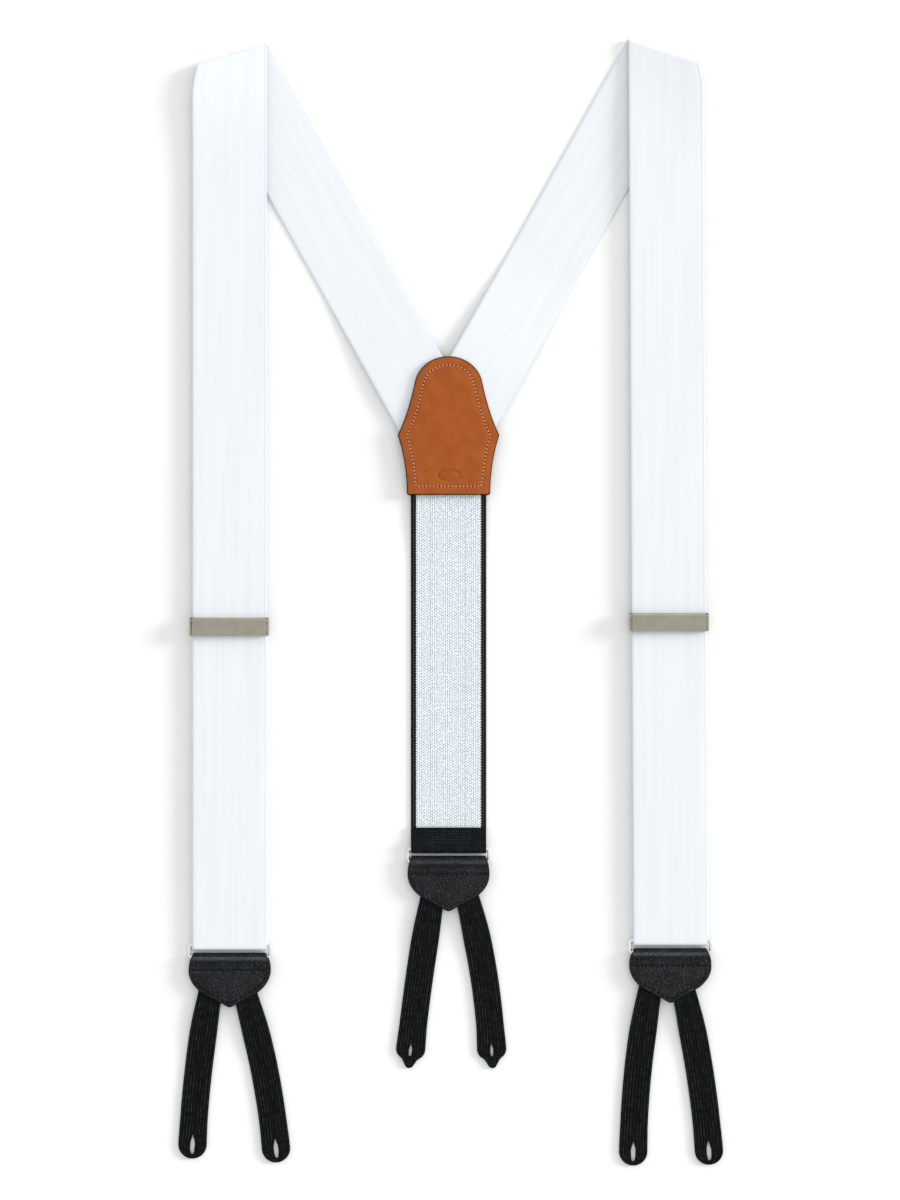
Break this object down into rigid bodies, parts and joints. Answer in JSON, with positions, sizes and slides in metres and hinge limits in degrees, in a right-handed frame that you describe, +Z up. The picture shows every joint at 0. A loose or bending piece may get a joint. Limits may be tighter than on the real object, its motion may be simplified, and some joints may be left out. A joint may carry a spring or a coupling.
{
  "type": "suspenders",
  "caption": "Button-on dress braces: white ribbon straps, lever adjusters, leather yoke patch, elastic back and braided button tabs.",
  "frame": {"origin": "middle of the whole, on the surface it lies on", "axes": "+X across, +Y from the button tabs to the shoulder folds, +Z up off the surface"},
  "size_m": [0.2648, 0.5478, 0.0074],
  "materials": {
    "white_ribbon": "woven ribbon with a faint sheen",
    "white_elastic": "knitted elastic with black borders",
    "black_braid": "dull plaited braid",
    "tan_leather": "satin leather with burnished edges",
    "black_leather": "satin grained leather",
    "nickel": "polished nickel wire",
    "brushed_nickel": "brushed nickel",
    "tan_thread": "thread",
    "black_thread": "thread",
    "white_thread": "thread"
  },
  "bodies": {
    "back_yoke": {"patch_front": "tan_leather", "patch_backing": "tan_leather", "patch_seam": "tan_thread", "left_back_strap": "white_ribbon", "right_back_strap": "white_ribbon", "left_shoulder_fold": "white_ribbon", "right_shoulder_fold": "white_ribbon", "back_elastic": "white_elastic"},
    "left_front_strap": {"left_front_strap": "white_ribbon"},
    "left_strap_loop": {"left_strap_loop": "white_ribbon"},
    "left_adjuster": {"left_adjuster_frame": "brushed_nickel", "left_adjuster_pin": "nickel", "left_strap_return": "white_ribbon", "left_hem_stitching": "white_thread"},
    "left_adjuster_lever": {"left_adjuster_lever": "brushed_nickel"},
    "left_ring": {"left_ring": "nickel"},
    "left_leather_end": {"left_leather_end": "black_leather", "left_leather_seam": "black_thread"},
    "left_outer_tab": {"left_outer_tab": "black_braid", "left_outer_tab_seam": "black_thread", "left_outer_tab_bartack": "black_thread"},
    "left_inner_tab": {"left_inner_tab": "black_braid", "left_inner_tab_seam": "black_thread", "left_inner_tab_bartack": "black_thread"},
    "right_front_strap": {"right_front_strap": "white_ribbon"},
    "right_strap_loop": {"right_strap_loop": "white_ribbon"},
    "right_adjuster": {"right_adjuster_frame": "brushed_nickel", "right_adjuster_pin": "nickel", "right_strap_return": "white_ribbon", "right_hem_stitching": "white_thread"},
    "right_adjuster_lever": {"right_adjuster_lever": "brushed_nickel"},
    "right_ring": {"right_ring": "nickel"},
    "right_leather_end": {"right_leather_end": "black_leather", "right_leather_seam": "black_thread"},
    "right_inner_tab": {"right_inner_tab": "black_braid", "right_inner_tab_seam": "black_thread", "right_inner_tab_bartack": "black_thread"},
    "right_outer_tab": {"right_outer_tab": "black_braid", "right_outer_tab_seam": "black_thread", "right_outer_tab_bartack": "black_thread"},
    "back_elastic_end": {"back_elastic_hem": "black_braid", "back_elastic_stitching": "black_thread"},
    "back_ring": {"back_ring": "nickel"},
    "back_leather_end": {"back_leather_end": "black_leather", "back_leather_seam": "black_thread"},
    "back_left_tab": {"back_left_tab": "black_braid", "back_left_tab_seam": "black_thread", "back_left_tab_bartack": "black_thread"},
    "back_right_tab": {"back_right_tab": "black_braid", "back_right_tab_seam": "black_thread", "back_right_tab_bartack": "black_thread"}
  },
  "joints": [
    {"name": "left_shoulder", "type": "hinge", "parent": "back_yoke", "child": "left_front_strap", "pos_m": [-0.10735, 0.26729, 0.0023], "axis": [-0.9677, -0.2521, 0], "range_deg": [0, 150], "deforming": ["left_shoulder_fold", "left_front_strap"]},
    {"name": "left_length", "type": "slide", "parent": "left_front_strap", "child": "left_strap_loop", "axis": [0, -1, 0], "range_m": [-0.06, 0.1], "deforming": ["left_front_strap", "left_strap_return", "left_strap_loop"]},
    {"name": "left_adjuster_slide", "type": "slide", "parent": "left_strap_loop", "child": "left_adjuster", "axis": [0, -1, 0], "range_m": [-0.06, 0.1], "deforming": ["left_front_strap", "left_strap_return", "left_strap_loop"]},
    {"name": "left_lever_turn", "type": "hinge", "parent": "left_adjuster", "child": "left_adjuster_lever", "pos_m": [-0.10735, -0.00891, 0.006], "axis": [-1, 0, 0], "range_deg": [0, 80]},
    {"name": "left_ring_turn", "type": "hinge", "parent": "left_strap_loop", "child": "left_ring", "pos_m": [-0.10735, -0.16651, 0.0021], "axis": [-1, 0, 0], "range_deg": [0, 60]},
    {"name": "left_leather_turn", "type": "hinge", "parent": "left_ring", "child": "left_leather_end", "pos_m": [-0.10735, -0.17231, 0.0021], "axis": [-1, 0, 0], "range_deg": [0, 60]},
    {"name": "left_outer_tab_flex", "type": "hinge", "parent": "left_leather_end", "child": "left_outer_tab", "pos_m": [-0.11685, -0.19221, 0.0021], "axis": [-1, 0, 0], "range_deg": [0, 45], "deforming": ["left_outer_tab", "left_outer_tab_seam"]},
    {"name": "left_inner_tab_flex", "type": "hinge", "parent": "left_leather_end", "child": "left_inner_tab", "pos_m": [-0.09885, -0.19221, 0.0021], "axis": [-1, 0, 0], "range_deg": [0, 45], "deforming": ["left_inner_tab", "left_inner_tab_seam"]},
    {"name": "right_shoulder", "type": "hinge", "parent": "back_yoke", "child": "right_front_strap", "pos_m": [0.10425, 0.26949, 0.0023], "axis": [-0.9677, 0.2521, 0], "range_deg": [0, 150], "deforming": ["right_shoulder_fold", "right_front_strap"]},
    {"name": "right_length", "type": "slide", "parent": "right_front_strap", "child": "right_strap_loop", "axis": [0.0055, -1, 0], "range_m": [-0.06, 0.1], "deforming": ["right_front_strap", "right_strap_return", "right_strap_loop"]},
    {"name": "right_adjuster_slide", "type": "slide", "parent": "right_strap_loop", "child": "right_adjuster", "axis": [0.0055, -1, 0], "range_m": [-0.06, 0.1], "deforming": ["right_front_strap", "right_strap_return", "right_strap_loop"]},
    {"name": "right_lever_turn", "type": "hinge", "parent": "right_adjuster", "child": "right_adjuster_lever", "pos_m": [0.10577, -0.00671, 0.006], "axis": [-1, 0, 0], "range_deg": [0, 80]},
    {"name": "right_ring_turn", "type": "hinge", "parent": "right_strap_loop", "child": "right_ring", "pos_m": [0.10665, -0.16431, 0.0021], "axis": [-1, 0, 0], "range_deg": [0, 60]},
    {"name": "right_leather_turn", "type": "hinge", "parent": "right_ring", "child": "right_leather_end", "pos_m": [0.10665, -0.17011, 0.0021], "axis": [-1, 0, 0], "range_deg": [0, 60]},
    {"name": "right_inner_tab_flex", "type": "hinge", "parent": "right_leather_end", "child": "right_inner_tab", "pos_m": [0.09745, -0.19001, 0.0021], "axis": [-1, 0, 0], "range_deg": [0, 45], "deforming": ["right_inner_tab", "right_inner_tab_seam"]},
    {"name": "right_outer_tab_flex", "type": "hinge", "parent": "right_leather_end", "child": "right_outer_tab", "pos_m": [0.11465, -0.19001, 0.0021], "axis": [-1, 0, 0], "range_deg": [0, 45], "deforming": ["right_outer_tab", "right_outer_tab_seam"]},
    {"name": "back_stretch", "type": "slide", "parent": "back_yoke", "child": "back_elastic_end", "axis": [0, -1, 0], "range_m": [0, 0.05], "stiffness_N_per_m": 180, "deforming": ["back_elastic"]},
    {"name": "back_ring_turn", "type": "hinge", "parent": "back_elastic_end", "child": "back_ring", "pos_m": [-0.00105, -0.11991, 0.0021], "axis": [-1, 0, 0], "range_deg": [0, 60]},
    {"name": "back_leather_turn", "type": "hinge", "parent": "back_ring", "child": "back_leather_end", "pos_m": [-0.00105, -0.12571, 0.0021], "axis": [-1, 0, 0], "range_deg": [0, 60]},
    {"name": "back_left_tab_flex", "type": "hinge", "parent": "back_leather_end", "child": "back_left_tab", "pos_m": [-0.00955, -0.14561, 0.0021], "axis": [-1, 0, 0], "range_deg": [0, 45], "deforming": ["back_left_tab", "back_left_tab_seam"]},
    {"name": "back_right_tab_flex", "type": "hinge", "parent": "back_leather_end", "child": "back_right_tab", "pos_m": [0.00845, -0.14561, 0.0021], "axis": [-1, 0, 0], "range_deg": [0, 45], "deforming": ["back_right_tab", "back_right_tab_seam"]}
  ],
  "couplings": [
    {"joint": "left_adjuster_slide", "follows": "left_length", "ratio": 1},
    {"joint": "right_adjuster_slide", "follows": "right_length", "ratio": 1}
  ]
}
